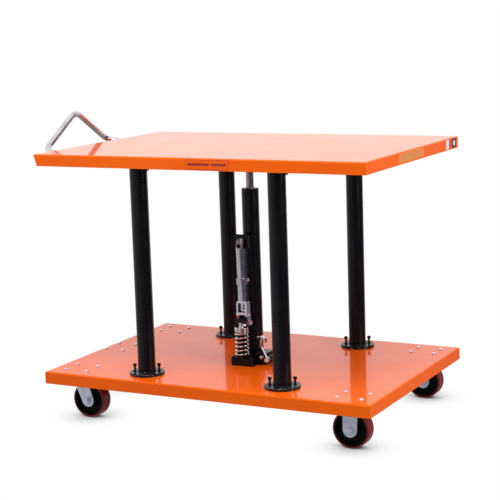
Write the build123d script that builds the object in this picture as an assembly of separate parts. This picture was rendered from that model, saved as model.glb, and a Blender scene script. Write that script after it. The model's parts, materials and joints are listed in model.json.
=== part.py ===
from build123d import *

import os
from math import cos, radians, sin, sqrt, tan

# Four-post hydraulic lift table: a flanged deck on casters, telescopic posts, foot pump and ram.
#
# Sizes are millimetres. X runs along the table towards the end with fixed casters, -Y is the pedal side,
# +Z is up. The deck is laid out about its own centre on the floor and moved by DECK_SHIFT on export,
# so that the origin is under the middle of the whole object, push handle included.

# ---- driving dimensions ----
LENGTH = 1220.0
WIDTH = 822.0
TOP_HEIGHT = 925.0
DECK_HEIGHT = 168.0
SHEET = 4.0
TABLE_LIP = 40.0
DECK_LIP = 42.0
TABLE_END_SLANT = 14.0
EDGE_RADIUS = 5.0

POST_X = 258.0
POST_Y = 308.0
POST_R = 30.0
POST_BORE_R = 26.0
INNER_POST_R = 22.0
POST_TOP = 905.0
RUNNING_GAP = 0.05
FLANGE_R = 60.0
FLANGE_THICK = 9.0
FLANGE_BOLT_RADIUS = 41.5
FLANGE_BOLT_TURN = 25.0

CASTER_X = 516.0
CASTER_Y = 321.0
CASTER_BOLT_X = 84.0
CASTER_BOLT_Y = 71.0
WHEEL_R = 62.5
TREAD_THICK = 6.0
TREAD_EDGE_R = 3.5
TREAD_HALF = 23.0
HUB_HALF = 24.2
FORK_INNER_HALF = 24.5
FORK_LEG = 4.0
WHEEL_AXLE_R = 6.0
FIXED_TRAIL = -4.0
SWIVEL_TRAIL = 36.0

LOCK_X = -558.0
LOCK_BOLT_X = 71.0
LOCK_BOLT_Y = 90.0
BOLT_R = 4.0
BOLT_HOLE_R = 4.3

RAM_R = 30.0
RAM_BORE_R = 24.0
RAM_TOP = 776.0
ROD_R = 13.5
BLOCK_TOP = DECK_HEIGHT + 25.0

PLUNGER_X = -9.5
PLUNGER_Y = -78.0
PLUNGER_R = 10.0
BARREL_R = 18.0
SPRING_R = 25.0
SPRING_WIRE_R = 2.8
SPRING_BOTTOM = DECK_HEIGHT + 33.0
SPRING_TOP = DECK_HEIGHT + 125.0
SPRING_TURNS = 7.5
RETAINER_R = 24.0
RETAINER_THICK = 7.0
NUB_R = 7.5
CAP_BOTTOM = DECK_HEIGHT + 150.0
FIT_GAP = 0.3

PIVOT_Y = -50.0
PIVOT_Z = DECK_HEIGHT + 144.0
PIVOT_R = 5.0
ROLLER_Y = -62.0
ROLLER_Z = DECK_HEIGHT + 175.0
ROLLER_R = 11.0
ROLLER_PIN_R = 4.0
CHEEK_THICK = 6.0
CHEEK_GAP = 28.0
CHEEK_FRONT = -73.0
CHEEK_BACK = -47.0
CLEVIS_TOP = DECK_HEIGHT + 222.0
LEVER_LEAN = 3.0
LEVER_TUBE_R = 13.5
LEVER_TUBE_BORE_R = 10.5
LEVER_TUBE_TOP = DECK_HEIGHT + 440.0

RELEASE_X = 84.0
RELEASE_Y = -70.0
RELEASE_Z = DECK_HEIGHT + 22.0

HANDLE_X = -707.0
HANDLE_R = 11.0
HANDLE_WALL = 2.5
HANDLE_APEX_Z = DECK_HEIGHT + 868.0
HANDLE_HALF_SPAN = 212.0
HANDLE_END_Z = DECK_HEIGHT + 739.0
HANDLE_BEND = 45.0

DECK_SHIFT = -(LENGTH / 2 + HANDLE_X - HANDLE_R) / 2

UNDER_TABLE = TOP_HEIGHT - SHEET
UNDER_DECK = DECK_HEIGHT - SHEET
PLATE_THICK = 5.0
POSTS = [(sx * POST_X, sy * POST_Y) for sx in (-1, 1) for sy in (-1, 1)]
SIDES = {"front": -1, "rear": 1}

nodes = {}


# ---- small shape helpers ----
def block(x0, x1, y0, y1, z0, z1):
    """Box given by its six faces."""
    size = Box(x1 - x0, y1 - y0, z1 - z0)
    return Pos((x0 + x1) / 2, (y0 + y1) / 2, (z0 + z1) / 2) * size


def upright(r, z0, z1, x=0.0, y=0.0):
    """Cylinder along Z."""
    return Pos(x, y, (z0 + z1) / 2) * Cylinder(r, z1 - z0)


def along_x(r, x0, x1, y, z):
    """Cylinder along X."""
    return Pos((x0 + x1) / 2, y, z) * Rot(0, 90, 0) * Cylinder(r, x1 - x0)


def along_y(r, y0, y1, x, z):
    """Cylinder along Y."""
    return Pos(x, (y0 + y1) / 2, z) * Rot(90, 0, 0) * Cylinder(r, y1 - y0)


def hexagon(flats, height):
    """Hexagonal prism along Z, centred, given its width across flats."""
    prism = extrude(RegularPolygon(flats / sqrt(3), 6), height / 2, both=True)
    return chamfer(prism.faces().sort_by(Axis.Z)[-1].edges(), 0.8)


def outline_yz(points, x0, x1):
    """Prism along X from an outline in the YZ plane."""
    wire = Polyline(*[(x0, y, z) for y, z in points], close=True)
    return extrude(make_face(wire), x1 - x0, dir=(1, 0, 0))


def outline_xz(points, y0, y1):
    """Prism along Y from an outline in the XZ plane."""
    wire = Polyline(*[(x, y0, z) for x, z in points], close=True)
    return extrude(make_face(wire), y1 - y0, dir=(0, 1, 0))


def bent_path(points, radii):
    """Straight runs joined by tangent arcs, one radius for each inner point."""
    edges = []
    start = Vector(*points[0])
    for before, corner, after, radius in zip(points, points[1:], points[2:], radii):
        corner = Vector(*corner)
        into = (corner - Vector(*before)).normalized()
        out = (Vector(*after) - corner).normalized()
        half_turn = radians(into.get_angle(out)) / 2
        setback = radius * tan(half_turn)
        first = corner - into * setback
        last = corner + out * setback
        inward = (out - into).normalized()
        middle = corner + inward * (radius / cos(half_turn) - radius)
        edges.append(Line(start, first))
        edges.append(ThreePointArc(first, middle, last))
        start = last
    edges.append(Line(start, Vector(*points[-1])))
    return Wire(edges)


def bolt_set(cx, cy, dx, dy):
    """Centres of a rectangular four-bolt pattern."""
    return [(cx + sx * dx / 2, cy + sy * dy / 2) for sx in (-1, 1) for sy in (-1, 1)]


def lean(shape):
    """Tip a lever piece forward about the pivot by its resting lean."""
    pivot = Pos(0, PIVOT_Y, PIVOT_Z)
    return pivot * Rot(LEVER_LEAN, 0, 0) * Pos(0, -PIVOT_Y, -PIVOT_Z) * shape


# ---- pressed pans ----
CASTER_SETS = [(sx * CASTER_X, sy * CASTER_Y) for sx in (-1, 1) for sy in (-1, 1)]


def plate_bolt_centres():
    centres = []
    for cx, cy in CASTER_SETS:
        centres += bolt_set(cx, cy, CASTER_BOLT_X, CASTER_BOLT_Y)
    return centres + bolt_set(LOCK_X, 0, LOCK_BOLT_X, LOCK_BOLT_Y)


def pan(top, lip, slant):
    """Sheet with its edges folded down; the left lip slants inwards by `slant` at its foot."""
    half_l = LENGTH / 2
    half_w = WIDTH / 2
    outer = outline_xz([(-half_l, top), (half_l, top), (half_l, top - lip), (-half_l + slant, top - lip)],
                       -half_w, half_w)
    outer = fillet(outer.faces().sort_by(Axis.Z)[-1].edges(), EDGE_RADIUS)
    low = top - lip - 1
    slope = slant / lip
    inner = outline_xz([(-half_l + SHEET + slope * SHEET, top - SHEET), (half_l - SHEET, top - SHEET),
                        (half_l - SHEET, low), (-half_l + SHEET + slope * (lip + 1), low)],
                       -half_w + SHEET, half_w - SHEET)
    return outer - inner


def base_deck():
    deck = pan(DECK_HEIGHT, DECK_LIP, 0.0)
    for x, y in plate_bolt_centres():
        deck -= upright(BOLT_HOLE_R, UNDER_DECK - 1, DECK_HEIGHT + 1, x, y)
    return deck


CHANNEL_Y = 150.0
CHANNEL_HALF = 20.0
CHANNEL_WALL = 3.0


def channel(x0, x1, y, top, depth):
    """Hat-shaped stiffener, open downwards, welded under a pan."""
    bar = block(x0, x1, y - CHANNEL_HALF, y + CHANNEL_HALF, top - depth, top)
    groove = block(x0 - 1, x1 + 1, y - CHANNEL_HALF + CHANNEL_WALL, y + CHANNEL_HALF - CHANNEL_WALL,
                   top - depth - 1, top - CHANNEL_WALL)
    return bar - groove


nodes["base_deck"] = [base_deck()]
nodes["deck_stiffeners"] = [channel(-LENGTH / 2 + 110, LENGTH / 2 - 10, s * CHANNEL_Y, UNDER_DECK, 34.0)
                            for s in (-1, 1)]
nodes["table_top"] = [pan(TOP_HEIGHT, TABLE_LIP, TABLE_END_SLANT)]
nodes["table_stiffeners"] = [channel(-LENGTH / 2 + 25, LENGTH / 2 - 10, s * CHANNEL_Y, UNDER_TABLE, 30.0)
                             for s in (-1, 1)]


# ---- telescopic posts ----
BUSH_LENGTH = 40.0
BUSH_HEAD = 4.0
INNER_POST_FOOT = DECK_HEIGHT + 20.0
TABLE_FLANGE_R = 50.0
TABLE_FLANGE_THICK = 8.0
WEAR_RING_HEIGHT = 30.0
TALL_SCREW_PROUD = 27.0


def post_tube(x, y):
    shell = upright(POST_R, DECK_HEIGHT, POST_TOP, x, y)
    return shell - upright(POST_BORE_R, DECK_HEIGHT - 1, POST_TOP + 1, x, y)


def post_flange(x, y):
    ring = upright(FLANGE_R, DECK_HEIGHT, DECK_HEIGHT + FLANGE_THICK, x, y)
    ring = chamfer(ring.edges().sort_by(Axis.Z)[-1], 1.5)
    ring -= upright(POST_R, DECK_HEIGHT - 1, DECK_HEIGHT + FLANGE_THICK + 1, x, y)
    for quarter in range(4):
        bx, by = flange_bolt(x, y, quarter)
        ring -= upright(BOLT_HOLE_R, DECK_HEIGHT - 1, DECK_HEIGHT + FLANGE_THICK + 1, bx, by)
    return ring


def flange_bolt(x, y, quarter):
    angle = radians(FLANGE_BOLT_TURN + 90 * quarter)
    return x + FLANGE_BOLT_RADIUS * cos(angle), y + FLANGE_BOLT_RADIUS * sin(angle)


def tall_screw(x, y):
    """Adjusting screw that stands proud of the flange on a bare shank."""
    foot = DECK_HEIGHT + 0.2
    top = DECK_HEIGHT + FLANGE_THICK + TALL_SCREW_PROUD
    head = upright(6.5, top - 9, top, x, y)
    head = fillet(head.edges().sort_by(Axis.Z)[-1], 2.5)
    socket = Pos(x, y, top) * extrude(RegularPolygon(3.4, 6), 4, both=True)
    shank = upright(3.6, foot, top - 8, x, y)
    collar = Pos(x, y, DECK_HEIGHT + FLANGE_THICK + 2.2) * hexagon(11.0, 4.4)
    return head + shank + collar - socket


def low_bolt(x, y):
    """Hexagon bolt down on its washer."""
    seat = DECK_HEIGHT + FLANGE_THICK
    washer = upright(8.5, seat, seat + 1.5, x, y)
    head = Pos(x, y, seat + 1.5 + 2.6) * hexagon(13.0, 5.2)
    shank = upright(3.9, DECK_HEIGHT + 0.2, seat + 1, x, y)
    return washer + head + shank


def post_bush(x, y):
    sleeve = upright(POST_BORE_R, POST_TOP - BUSH_LENGTH, POST_TOP, x, y)
    head = upright(POST_R - 1, POST_TOP, POST_TOP + BUSH_HEAD, x, y)
    bore = upright(INNER_POST_R + RUNNING_GAP, POST_TOP - BUSH_LENGTH - 1, POST_TOP + BUSH_HEAD + 1, x, y)
    return sleeve + head - bore


def grease_nipple(x, y):
    """Nipple on the outer face of a post, under the table's lip."""
    z = DECK_HEIGHT + 702.0
    stem = along_x(3.0, x + POST_R - 1.0, x + POST_R + 8, y, z)
    nut = Pos(x + POST_R + 3.2, y, z) * Rot(0, 90, 0) * hexagon(9.0, 4.0)
    tip = Pos(x + POST_R + 8.5, y, z) * Sphere(3.4)
    seat = upright(POST_R, z - 12, z + 12, x, y)
    return stem + nut + tip - seat


def inner_post(x, y):
    bar = upright(INNER_POST_R, INNER_POST_FOOT, UNDER_TABLE - TABLE_FLANGE_THICK, x, y)
    bore = upright(INNER_POST_R - 5, INNER_POST_FOOT - 1, UNDER_TABLE - TABLE_FLANGE_THICK - 6, x, y)
    return bar - bore


def wear_ring(x, y):
    z0 = INNER_POST_FOOT + 10
    ring = upright(POST_BORE_R - RUNNING_GAP, z0, z0 + WEAR_RING_HEIGHT, x, y)
    return ring - upright(INNER_POST_R, z0 - 1, z0 + WEAR_RING_HEIGHT + 1, x, y)


for (px, py), label in zip(POSTS, ("left_front", "left_rear", "right_front", "right_rear")):
    nodes["post_tube_" + label] = [post_tube(px, py)]
nodes["post_flanges"] = [post_flange(x, y) for x, y in POSTS]
nodes["post_tall_screws"] = [tall_screw(*flange_bolt(x, y, q)) for x, y in POSTS for q in (0, 2)]
nodes["post_low_bolts"] = [low_bolt(*flange_bolt(x, y, q)) for x, y in POSTS for q in (1, 3)]
nodes["post_bushes"] = [post_bush(x, y) for x, y in POSTS]
nodes["grease_nipples"] = [grease_nipple(x, y) for x, y in POSTS]
nodes["inner_posts"] = [inner_post(x, y) for x, y in POSTS]
nodes["table_mount_plates"] = [upright(TABLE_FLANGE_R, UNDER_TABLE - TABLE_FLANGE_THICK, UNDER_TABLE, x, y)
                               for x, y in POSTS + [(0, 0)]]
nodes["post_wear_rings"] = [wear_ring(x, y) for x, y in POSTS]


# ---- casters and floor lock ----
def plate_bolts():
    """Zinc bolts that hold the caster plates and the lock plate under the deck."""
    bolts = []
    nut_top = UNDER_DECK - PLATE_THICK
    for x, y in plate_bolt_centres():
        head = upright(7.0, DECK_HEIGHT, DECK_HEIGHT + 4.5, x, y)
        head = fillet(head.edges().sort_by(Axis.Z)[-1], 3.2)
        shank = upright(BOLT_R, nut_top - 8.5, DECK_HEIGHT + 1, x, y)
        nut = Pos(x, y, nut_top - 3.2) * hexagon(13.0, 6.4)
        bolts.append(head + shank + nut)
    return bolts


def mounting_plate(cx, cy, half_x, half_y, bolts):
    plate = block(cx - half_x, cx + half_x, cy - half_y, cy + half_y, UNDER_DECK - PLATE_THICK, UNDER_DECK)
    plate = fillet(plate.edges().filter_by(Axis.Z), 8)
    for x, y in bolts:
        plate -= upright(BOLT_HOLE_R, UNDER_DECK - PLATE_THICK - 1, UNDER_DECK + 1, x, y)
    return plate


PLATE_HALF_X = 54.0
PLATE_HALF_Y = 47.0


def caster_plate(cx, cy):
    return mounting_plate(cx, cy, PLATE_HALF_X, PLATE_HALF_Y,
                          bolt_set(cx, cy, CASTER_BOLT_X, CASTER_BOLT_Y))


def fork_leg(root_x, root_half, axle_x, foot_r, z_root, y0, y1):
    """Leg tapering from a wide root to a round foot about the axle."""
    dx = axle_x - root_x
    dz = WHEEL_R - z_root
    flank = [(root_x - root_half, z_root), (root_x + root_half, z_root)]
    run = sqrt(dx * dx + dz * dz)
    nx, nz = -dz / run, dx / run
    flank += [(axle_x + nx * foot_r, WHEEL_R + nz * foot_r), (axle_x - nx * foot_r, WHEEL_R - nz * foot_r)]
    leg = outline_xz(flank, y0, y1) + along_y(foot_r, y0, y1, axle_x, WHEEL_R)
    return leg - along_y(WHEEL_AXLE_R, y0 - 1, y1 + 1, axle_x, WHEEL_R)


FORK_OUTER_HALF = FORK_INNER_HALF + FORK_LEG


def fixed_fork(cy):
    """Pressed fixed fork: mounting plate with two straight legs."""
    axle_x = CASTER_X + FIXED_TRAIL
    fork = caster_plate(CASTER_X, cy)
    z_root = UNDER_DECK - PLATE_THICK
    for side in (-1, 1):
        y0, y1 = sorted((cy + side * FORK_INNER_HALF, cy + side * FORK_OUTER_HALF))
        fork += fork_leg(CASTER_X, 27.0, axle_x, 24.5, z_root, y0, y1)
    return fork


RACE_TOP = UNDER_DECK - PLATE_THICK
RACE_BOTTOM = 148.0
CROWN_TOP = 147.6
CROWN_THICK = 6.0
CROWN_R = 34.0
KINGPIN_R = 7.0


def swivel_plate(cy):
    """Mounting plate with its ball race and king pin."""
    x = -CASTER_X
    plate = caster_plate(x, cy)
    race = upright(33.0, RACE_BOTTOM, RACE_TOP, x, cy)
    race = chamfer(race.edges().sort_by(Axis.Z)[0], 3)
    pin = upright(KINGPIN_R, CROWN_TOP - CROWN_THICK - 10, RACE_BOTTOM + 1, x, cy)
    nut = Pos(x, cy, CROWN_TOP - CROWN_THICK - 0.4 - 4) * hexagon(21.0, 8.0)
    return plate + race + pin + nut


def swivel_fork(cy):
    """Swivelling fork: round crown and two raked legs."""
    x = -CASTER_X
    axle_x = x + SWIVEL_TRAIL
    crown = upright(CROWN_R, CROWN_TOP - CROWN_THICK, CROWN_TOP, x, cy)
    fork = crown - upright(KINGPIN_R + RUNNING_GAP, CROWN_TOP - CROWN_THICK - 1, CROWN_TOP + 1, x, cy)
    for side in (-1, 1):
        y0, y1 = sorted((cy + side * FORK_INNER_HALF, cy + side * FORK_OUTER_HALF))
        fork += fork_leg(x + 4, 29.0, axle_x, 23.5, CROWN_TOP - 1.0, y0, y1)
    return fork


AXLE_WASHER_R = 13.0
AXLE_WASHER_THICK = 2.5
AXLE_NUT_THICK = 8.0


def axle(x, cy):
    """Axle bolt with a head at the rear, and a washer and nut at the front."""
    seat = cy - FORK_OUTER_HALF
    nut_seat = seat - AXLE_WASHER_THICK
    bar = along_y(WHEEL_AXLE_R, nut_seat - AXLE_NUT_THICK - 3, cy + FORK_OUTER_HALF + 1, x, WHEEL_R)
    head = Pos(x, cy + FORK_OUTER_HALF + 3, WHEEL_R) * Rot(-90, 0, 0) * hexagon(18.0, 6.0)
    washer = along_y(AXLE_WASHER_R, nut_seat, seat, x, WHEEL_R)
    nut = Pos(x, nut_seat - AXLE_NUT_THICK / 2, WHEEL_R) * Rot(90, 0, 0) * hexagon(19.0, AXLE_NUT_THICK)
    return bar + head + washer + nut


def wheel_core(x, cy):
    """Moulded core: hub, dished web and rim."""
    rim_r = WHEEL_R - TREAD_THICK
    rim = along_y(rim_r, cy - TREAD_HALF + 1, cy + TREAD_HALF - 1, x, WHEEL_R)
    for side in (-1, 1):
        y0, y1 = sorted((cy + side * 9, cy + side * TREAD_HALF))
        rim -= along_y(rim_r - 7, y0, y1, x, WHEEL_R) - along_y(18, y0, y1, x, WHEEL_R)
    core = rim + along_y(18, cy - HUB_HALF, cy + HUB_HALF, x, WHEEL_R)
    return core - along_y(WHEEL_AXLE_R + RUNNING_GAP, cy - HUB_HALF - 1, cy + HUB_HALF + 1, x, WHEEL_R)


def wheel_tread(x, cy):
    ring = along_y(WHEEL_R, cy - TREAD_HALF, cy + TREAD_HALF, x, WHEEL_R)
    ring = fillet(ring.edges().filter_by(GeomType.CIRCLE), TREAD_EDGE_R)
    return ring - along_y(WHEEL_R - TREAD_THICK, cy - TREAD_HALF - 1, cy + TREAD_HALF + 1, x, WHEEL_R)


nodes["plate_bolts"] = plate_bolts()
nodes["fixed_forks"] = [fixed_fork(s * CASTER_Y) for s in (-1, 1)]
nodes["fixed_axles"] = [axle(CASTER_X + FIXED_TRAIL, s * CASTER_Y) for s in (-1, 1)]
nodes["swivel_plates"] = [swivel_plate(s * CASTER_Y) for s in (-1, 1)]
for side_name, sign in SIDES.items():
    swivel_x = -CASTER_X + SWIVEL_TRAIL
    nodes["swivel_fork_" + side_name] = [swivel_fork(sign * CASTER_Y)]
    nodes["swivel_axle_" + side_name] = [axle(swivel_x, sign * CASTER_Y)]
    for end, wheel_x in (("left", swivel_x), ("right", CASTER_X + FIXED_TRAIL)):
        wheel = "_".join((end, side_name))
        nodes["wheel_core_" + wheel] = [wheel_core(wheel_x, sign * CASTER_Y)]
        nodes["wheel_tread_" + wheel] = [wheel_tread(wheel_x, sign * CASTER_Y)]

LOCK_FOOT_BOTTOM = 58.0
LOCK_STEM_R = 11.0
LOCK_PIVOT_Z = 122.0
LOCK_EAR_Y = 31.0
LOCK_PIVOT_R = 5.0


def lock_housing():
    bolts = bolt_set(LOCK_X, 0, LOCK_BOLT_X, LOCK_BOLT_Y)
    plate = mounting_plate(LOCK_X, 0, 47.0, 57.0, bolts)
    barrel = upright(20.0, 92.0, UNDER_DECK - PLATE_THICK, LOCK_X, 0)
    stem_hole = upright(LOCK_STEM_R + RUNNING_GAP, 91.0, UNDER_DECK - PLATE_THICK - 2, LOCK_X, 0)
    ears = along_y(12.0, -LOCK_EAR_Y, LOCK_EAR_Y, LOCK_X, LOCK_PIVOT_Z)
    housing = plate + barrel + ears - stem_hole
    for side in (-1, 1):
        y0, y1 = sorted((side * (LOCK_EAR_Y - 9), side * (LOCK_EAR_Y + 1)))
        housing -= along_y(LOCK_PIVOT_R + RUNNING_GAP, y0, y1, LOCK_X, LOCK_PIVOT_Z)
    return housing


def lock_foot():
    stem = upright(LOCK_STEM_R, LOCK_FOOT_BOTTOM + 14, 156.0, LOCK_X, 0)
    shoe = upright(21.0, LOCK_FOOT_BOTTOM + 9, LOCK_FOOT_BOTTOM + 15, LOCK_X, 0)
    return stem + shoe


def lock_pedal():
    """Two arms that straddle the housing, joined by a foot tread past the deck's end."""
    tread_x = -LENGTH / 2 - 30
    tread = block(tread_x, tread_x + 30, -37, 37, 104, 109)
    pedal = fillet(tread.edges().filter_by(Axis.Z), 6)
    for side in (-1, 1):
        y0, y1 = sorted((side * (LOCK_EAR_Y + 0.5), side * (LOCK_EAR_Y + 6)))
        arm = outline_xz([(LOCK_X, LOCK_PIVOT_Z - 9), (LOCK_X, LOCK_PIVOT_Z + 9), (tread_x + 20, 118),
                          (tread_x + 4, 105)], y0, y1)
        stub_y = sorted((side * (LOCK_EAR_Y - 8), side * (LOCK_EAR_Y + 6)))
        stub = along_y(LOCK_PIVOT_R, stub_y[0], stub_y[1], LOCK_X, LOCK_PIVOT_Z)
        pedal += arm + along_y(9.0, y0, y1, LOCK_X, LOCK_PIVOT_Z) + stub
    return pedal


def lock_pad():
    pad = upright(26.0, LOCK_FOOT_BOTTOM, LOCK_FOOT_BOTTOM + 9, LOCK_X, 0)
    return fillet(pad.edges().sort_by(Axis.Z)[0], 2)


nodes["floor_lock_housing"] = [lock_housing()]
nodes["floor_lock_foot"] = [lock_foot()]
nodes["floor_lock_pad"] = [lock_pad()]
nodes["floor_lock_pedal"] = [lock_pedal()]


# ---- ram and pump ----
ROD_FOOT = 205.0
GLAND_HEIGHT = 34.0


def pump_block():
    body = block(-43, 41, -103, 38, DECK_HEIGHT, BLOCK_TOP)
    body = fillet(body.edges().filter_by(Axis.Z), 5)
    body = chamfer(body.faces().sort_by(Axis.Z)[-1].edges(), 1.5)
    return body - upright(PLUNGER_R + RUNNING_GAP, DECK_HEIGHT + 4, BLOCK_TOP + 1, PLUNGER_X, PLUNGER_Y)


def valve_block():
    """Valve body bolted against the pump block, with a lug for the release shaft."""
    body = block(41, 72, -65, 5, DECK_HEIGHT, DECK_HEIGHT + 40)
    body += block(32, 42, -65, 5, BLOCK_TOP, DECK_HEIGHT + 40)
    body = body - upright(RAM_R + 1, DECK_HEIGHT - 1, DECK_HEIGHT + 60)
    lug = block(71, RELEASE_X + 11, -60, -42, RELEASE_Z - 11, RELEASE_Z + 11)
    body += lug
    return body - along_y(5.0 + RUNNING_GAP, -66, -40, RELEASE_X, RELEASE_Z)


def ram_tube():
    tube = upright(RAM_R, BLOCK_TOP, RAM_TOP - 16)
    return tube - upright(RAM_BORE_R, BLOCK_TOP + 8, RAM_TOP)


def ram_gland():
    head = upright(RAM_R, RAM_TOP - 16, RAM_TOP)
    head = chamfer(head.edges().sort_by(Axis.Z)[-1], 2)
    spigot = upright(RAM_BORE_R, RAM_TOP - 16 - GLAND_HEIGHT, RAM_TOP - 15)
    return head + spigot - upright(ROD_R + RUNNING_GAP, RAM_TOP - 60, RAM_TOP + 1)


def piston_rod():
    return upright(ROD_R, ROD_FOOT, UNDER_TABLE - TABLE_FLANGE_THICK)


def rod_piston():
    z0 = ROD_FOOT + 6
    piston = upright(RAM_BORE_R - RUNNING_GAP, z0, z0 + 28) - upright(ROD_R, z0 - 1, z0 + 29)
    groove = upright(RAM_BORE_R + 1, z0 + 11, z0 + 17) - upright(RAM_BORE_R - 3, z0 + 10, z0 + 18)
    return piston - groove


def pump_barrel():
    """Barrel inside the spring that guides the plunger."""
    top = DECK_HEIGHT + 106
    barrel = upright(BARREL_R, BLOCK_TOP, top, PLUNGER_X, PLUNGER_Y)
    collar = upright(RETAINER_R, BLOCK_TOP, SPRING_BOTTOM - 0.2, PLUNGER_X, PLUNGER_Y)
    return barrel + collar - upright(PLUNGER_R + RUNNING_GAP, BLOCK_TOP - 1, top + 1, PLUNGER_X, PLUNGER_Y)


def pump_plunger():
    shaft = upright(PLUNGER_R, DECK_HEIGHT + 40, SPRING_TOP + 1, PLUNGER_X, PLUNGER_Y)
    return shaft


def spring_retainer():
    """Chromed cup that the spring pushes up against, with a nub on top."""
    z0 = SPRING_TOP + 0.2
    cup = upright(RETAINER_R, z0, z0 + RETAINER_THICK, PLUNGER_X, PLUNGER_Y)
    cup = fillet(cup.edges().sort_by(Axis.Z)[-1], 3)
    nub = upright(NUB_R, z0 + RETAINER_THICK - 1, CAP_BOTTOM, PLUNGER_X, PLUNGER_Y)
    return cup + nub - upright(PLUNGER_R, z0 - 1, SPRING_TOP + 1, PLUNGER_X, PLUNGER_Y)


def plunger_cap():
    """Hardened pad between the cheeks that the roller bears on."""
    top = ROLLER_Z - ROLLER_R - FIT_GAP
    half = CHEEK_GAP / 2 - 1.5
    pad = block(PLUNGER_X - half, PLUNGER_X + half, -94, -60.5, CAP_BOTTOM, top)
    return fillet(pad.edges().filter_by(Axis.Z), 6)


def return_spring():
    """Coil spring between the barrel's collar and the retainer."""
    height = SPRING_TOP - SPRING_BOTTOM
    mean_r = SPRING_R - SPRING_WIRE_R
    rise = height - 2 * SPRING_WIRE_R
    helix = Helix(pitch=rise / SPRING_TURNS, height=rise, radius=mean_r)
    section = Plane(origin=helix @ 0, z_dir=helix % 0) * Circle(SPRING_WIRE_R)
    wire = sweep(section, path=helix)
    return Pos(PLUNGER_X, PLUNGER_Y, SPRING_BOTTOM + SPRING_WIRE_R) * wire


def pump_bolts():
    """Socket screws at the pump block's corners."""
    screws = []
    for x, y in ((-36, -95), (33, -95), (-36, 31), (33, 31)):
        head = upright(5.5, BLOCK_TOP, BLOCK_TOP + 6, x, y)
        head = chamfer(head.edges().sort_by(Axis.Z)[-1], 1)
        head -= Pos(x, y, BLOCK_TOP + 6) * extrude(RegularPolygon(2.9, 6), 3, both=True)
        screws.append(head)
    return screws


def fulcrum_bracket():
    """Tongue welded to the ram's front that carries the pedal lever's pivot."""
    half = 6.0
    eye = along_x(8.0, PLUNGER_X - half, PLUNGER_X + half, PIVOT_Y, PIVOT_Z)
    arm = block(PLUNGER_X - half, PLUNGER_X + half, PIVOT_Y, -20, PIVOT_Z - 8, PIVOT_Z + 8)
    web = block(PLUNGER_X - half, PLUNGER_X + half, -33, -20, PIVOT_Z - 40, PIVOT_Z + 26)
    web = chamfer(web.edges().filter_by(Axis.X).sort_by(Axis.Y)[:2], 4)
    tongue = eye + arm + web - upright(RAM_R, PIVOT_Z - 80, PIVOT_Z + 80)
    bore = along_x(PIVOT_R + RUNNING_GAP, PLUNGER_X - half - 1, PLUNGER_X + half + 1, PIVOT_Y, PIVOT_Z)
    return tongue - bore


nodes["pump_block"] = [pump_block()]
nodes["valve_block"] = [valve_block()]
nodes["ram_tube"] = [ram_tube()]
nodes["ram_gland"] = [ram_gland()]
nodes["piston_rod"] = [piston_rod()]
nodes["rod_piston"] = [rod_piston()]
nodes["pump_barrel"] = [pump_barrel()]
nodes["pump_plunger"] = [pump_plunger()]
nodes["spring_retainer"] = [spring_retainer()]
nodes["plunger_cap"] = [plunger_cap()]
nodes["return_spring"] = [return_spring()]
nodes["pump_bolts"] = pump_bolts()
nodes["fulcrum_bracket"] = [fulcrum_bracket()]


# ---- pedal lever ----
CLEVIS_HALF = CHEEK_GAP / 2 + CHEEK_THICK
CHEEK_EYE_R = 11.5
SHOULDER_R = 8.0
STUD_R = 10.5
TUBE_Y = -57.0
COLLAR_Z = (DECK_HEIGHT + 282, DECK_HEIGHT + 304)
PEDAL_Z = (DECK_HEIGHT + 405, DECK_HEIGHT + 454)


def lever_clevis():
    """Inverted U of thick plate with rounded shoulders, two straight cheeks and a stud under its bridge."""
    x0 = PLUNGER_X - CLEVIS_HALF
    x1 = PLUNGER_X + CLEVIS_HALF
    low_front = PIVOT_Y - CHEEK_EYE_R
    outline = [(PIVOT_Y + CHEEK_EYE_R, PIVOT_Z), (CHEEK_BACK, ROLLER_Z + 10), (CHEEK_BACK, CLEVIS_TOP),
               (CHEEK_FRONT, CLEVIS_TOP), (CHEEK_FRONT, ROLLER_Z - 6), (low_front, PIVOT_Z)]
    side_view = outline_yz(outline, x0, x1)
    side_view += along_x(CHEEK_EYE_R, x0, x1, PIVOT_Y, PIVOT_Z)
    front_view = block(x0, x1, -120, 0, PIVOT_Z - 40, CLEVIS_TOP)
    front_view = fillet(front_view.edges().filter_by(Axis.Y).sort_by(Axis.Z)[-2:], SHOULDER_R)
    gap = block(PLUNGER_X - CHEEK_GAP / 2, PLUNGER_X + CHEEK_GAP / 2, -120, 0, PIVOT_Z - 41, CLEVIS_TOP - 7)
    gap = fillet(gap.edges().filter_by(Axis.Y).sort_by(Axis.Z)[-2:], 4)
    solid = (side_view & front_view) - gap
    solid += upright(STUD_R, ROLLER_Z + ROLLER_R + 3, CLEVIS_TOP - 6, PLUNGER_X, TUBE_Y - 3)
    solid -= along_x(PIVOT_R, x0 - 1, x1 + 1, PIVOT_Y, PIVOT_Z)
    return solid - along_x(ROLLER_PIN_R, x0 - 1, x1 + 1, ROLLER_Y, ROLLER_Z)


def lever_pins():
    """Pivot bolt and roller bolt, each across both cheeks with a head and a nut."""
    x0 = PLUNGER_X - CLEVIS_HALF
    x1 = PLUNGER_X + CLEVIS_HALF
    pins = []
    for r, y, z, flats in ((PIVOT_R, PIVOT_Y, PIVOT_Z, 15.0), (ROLLER_PIN_R, ROLLER_Y, ROLLER_Z, 12.0)):
        bar = along_x(r, x0 - 6, x1 + 1, y, z)
        head = Pos(x1 + 2.5, y, z) * Rot(0, 90, 0) * hexagon(flats, 5.0)
        nut = Pos(x0 - 2.5, y, z) * Rot(0, -90, 0) * hexagon(flats, 5.0)
        pins.append(bar + head + nut)
    return pins


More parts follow.
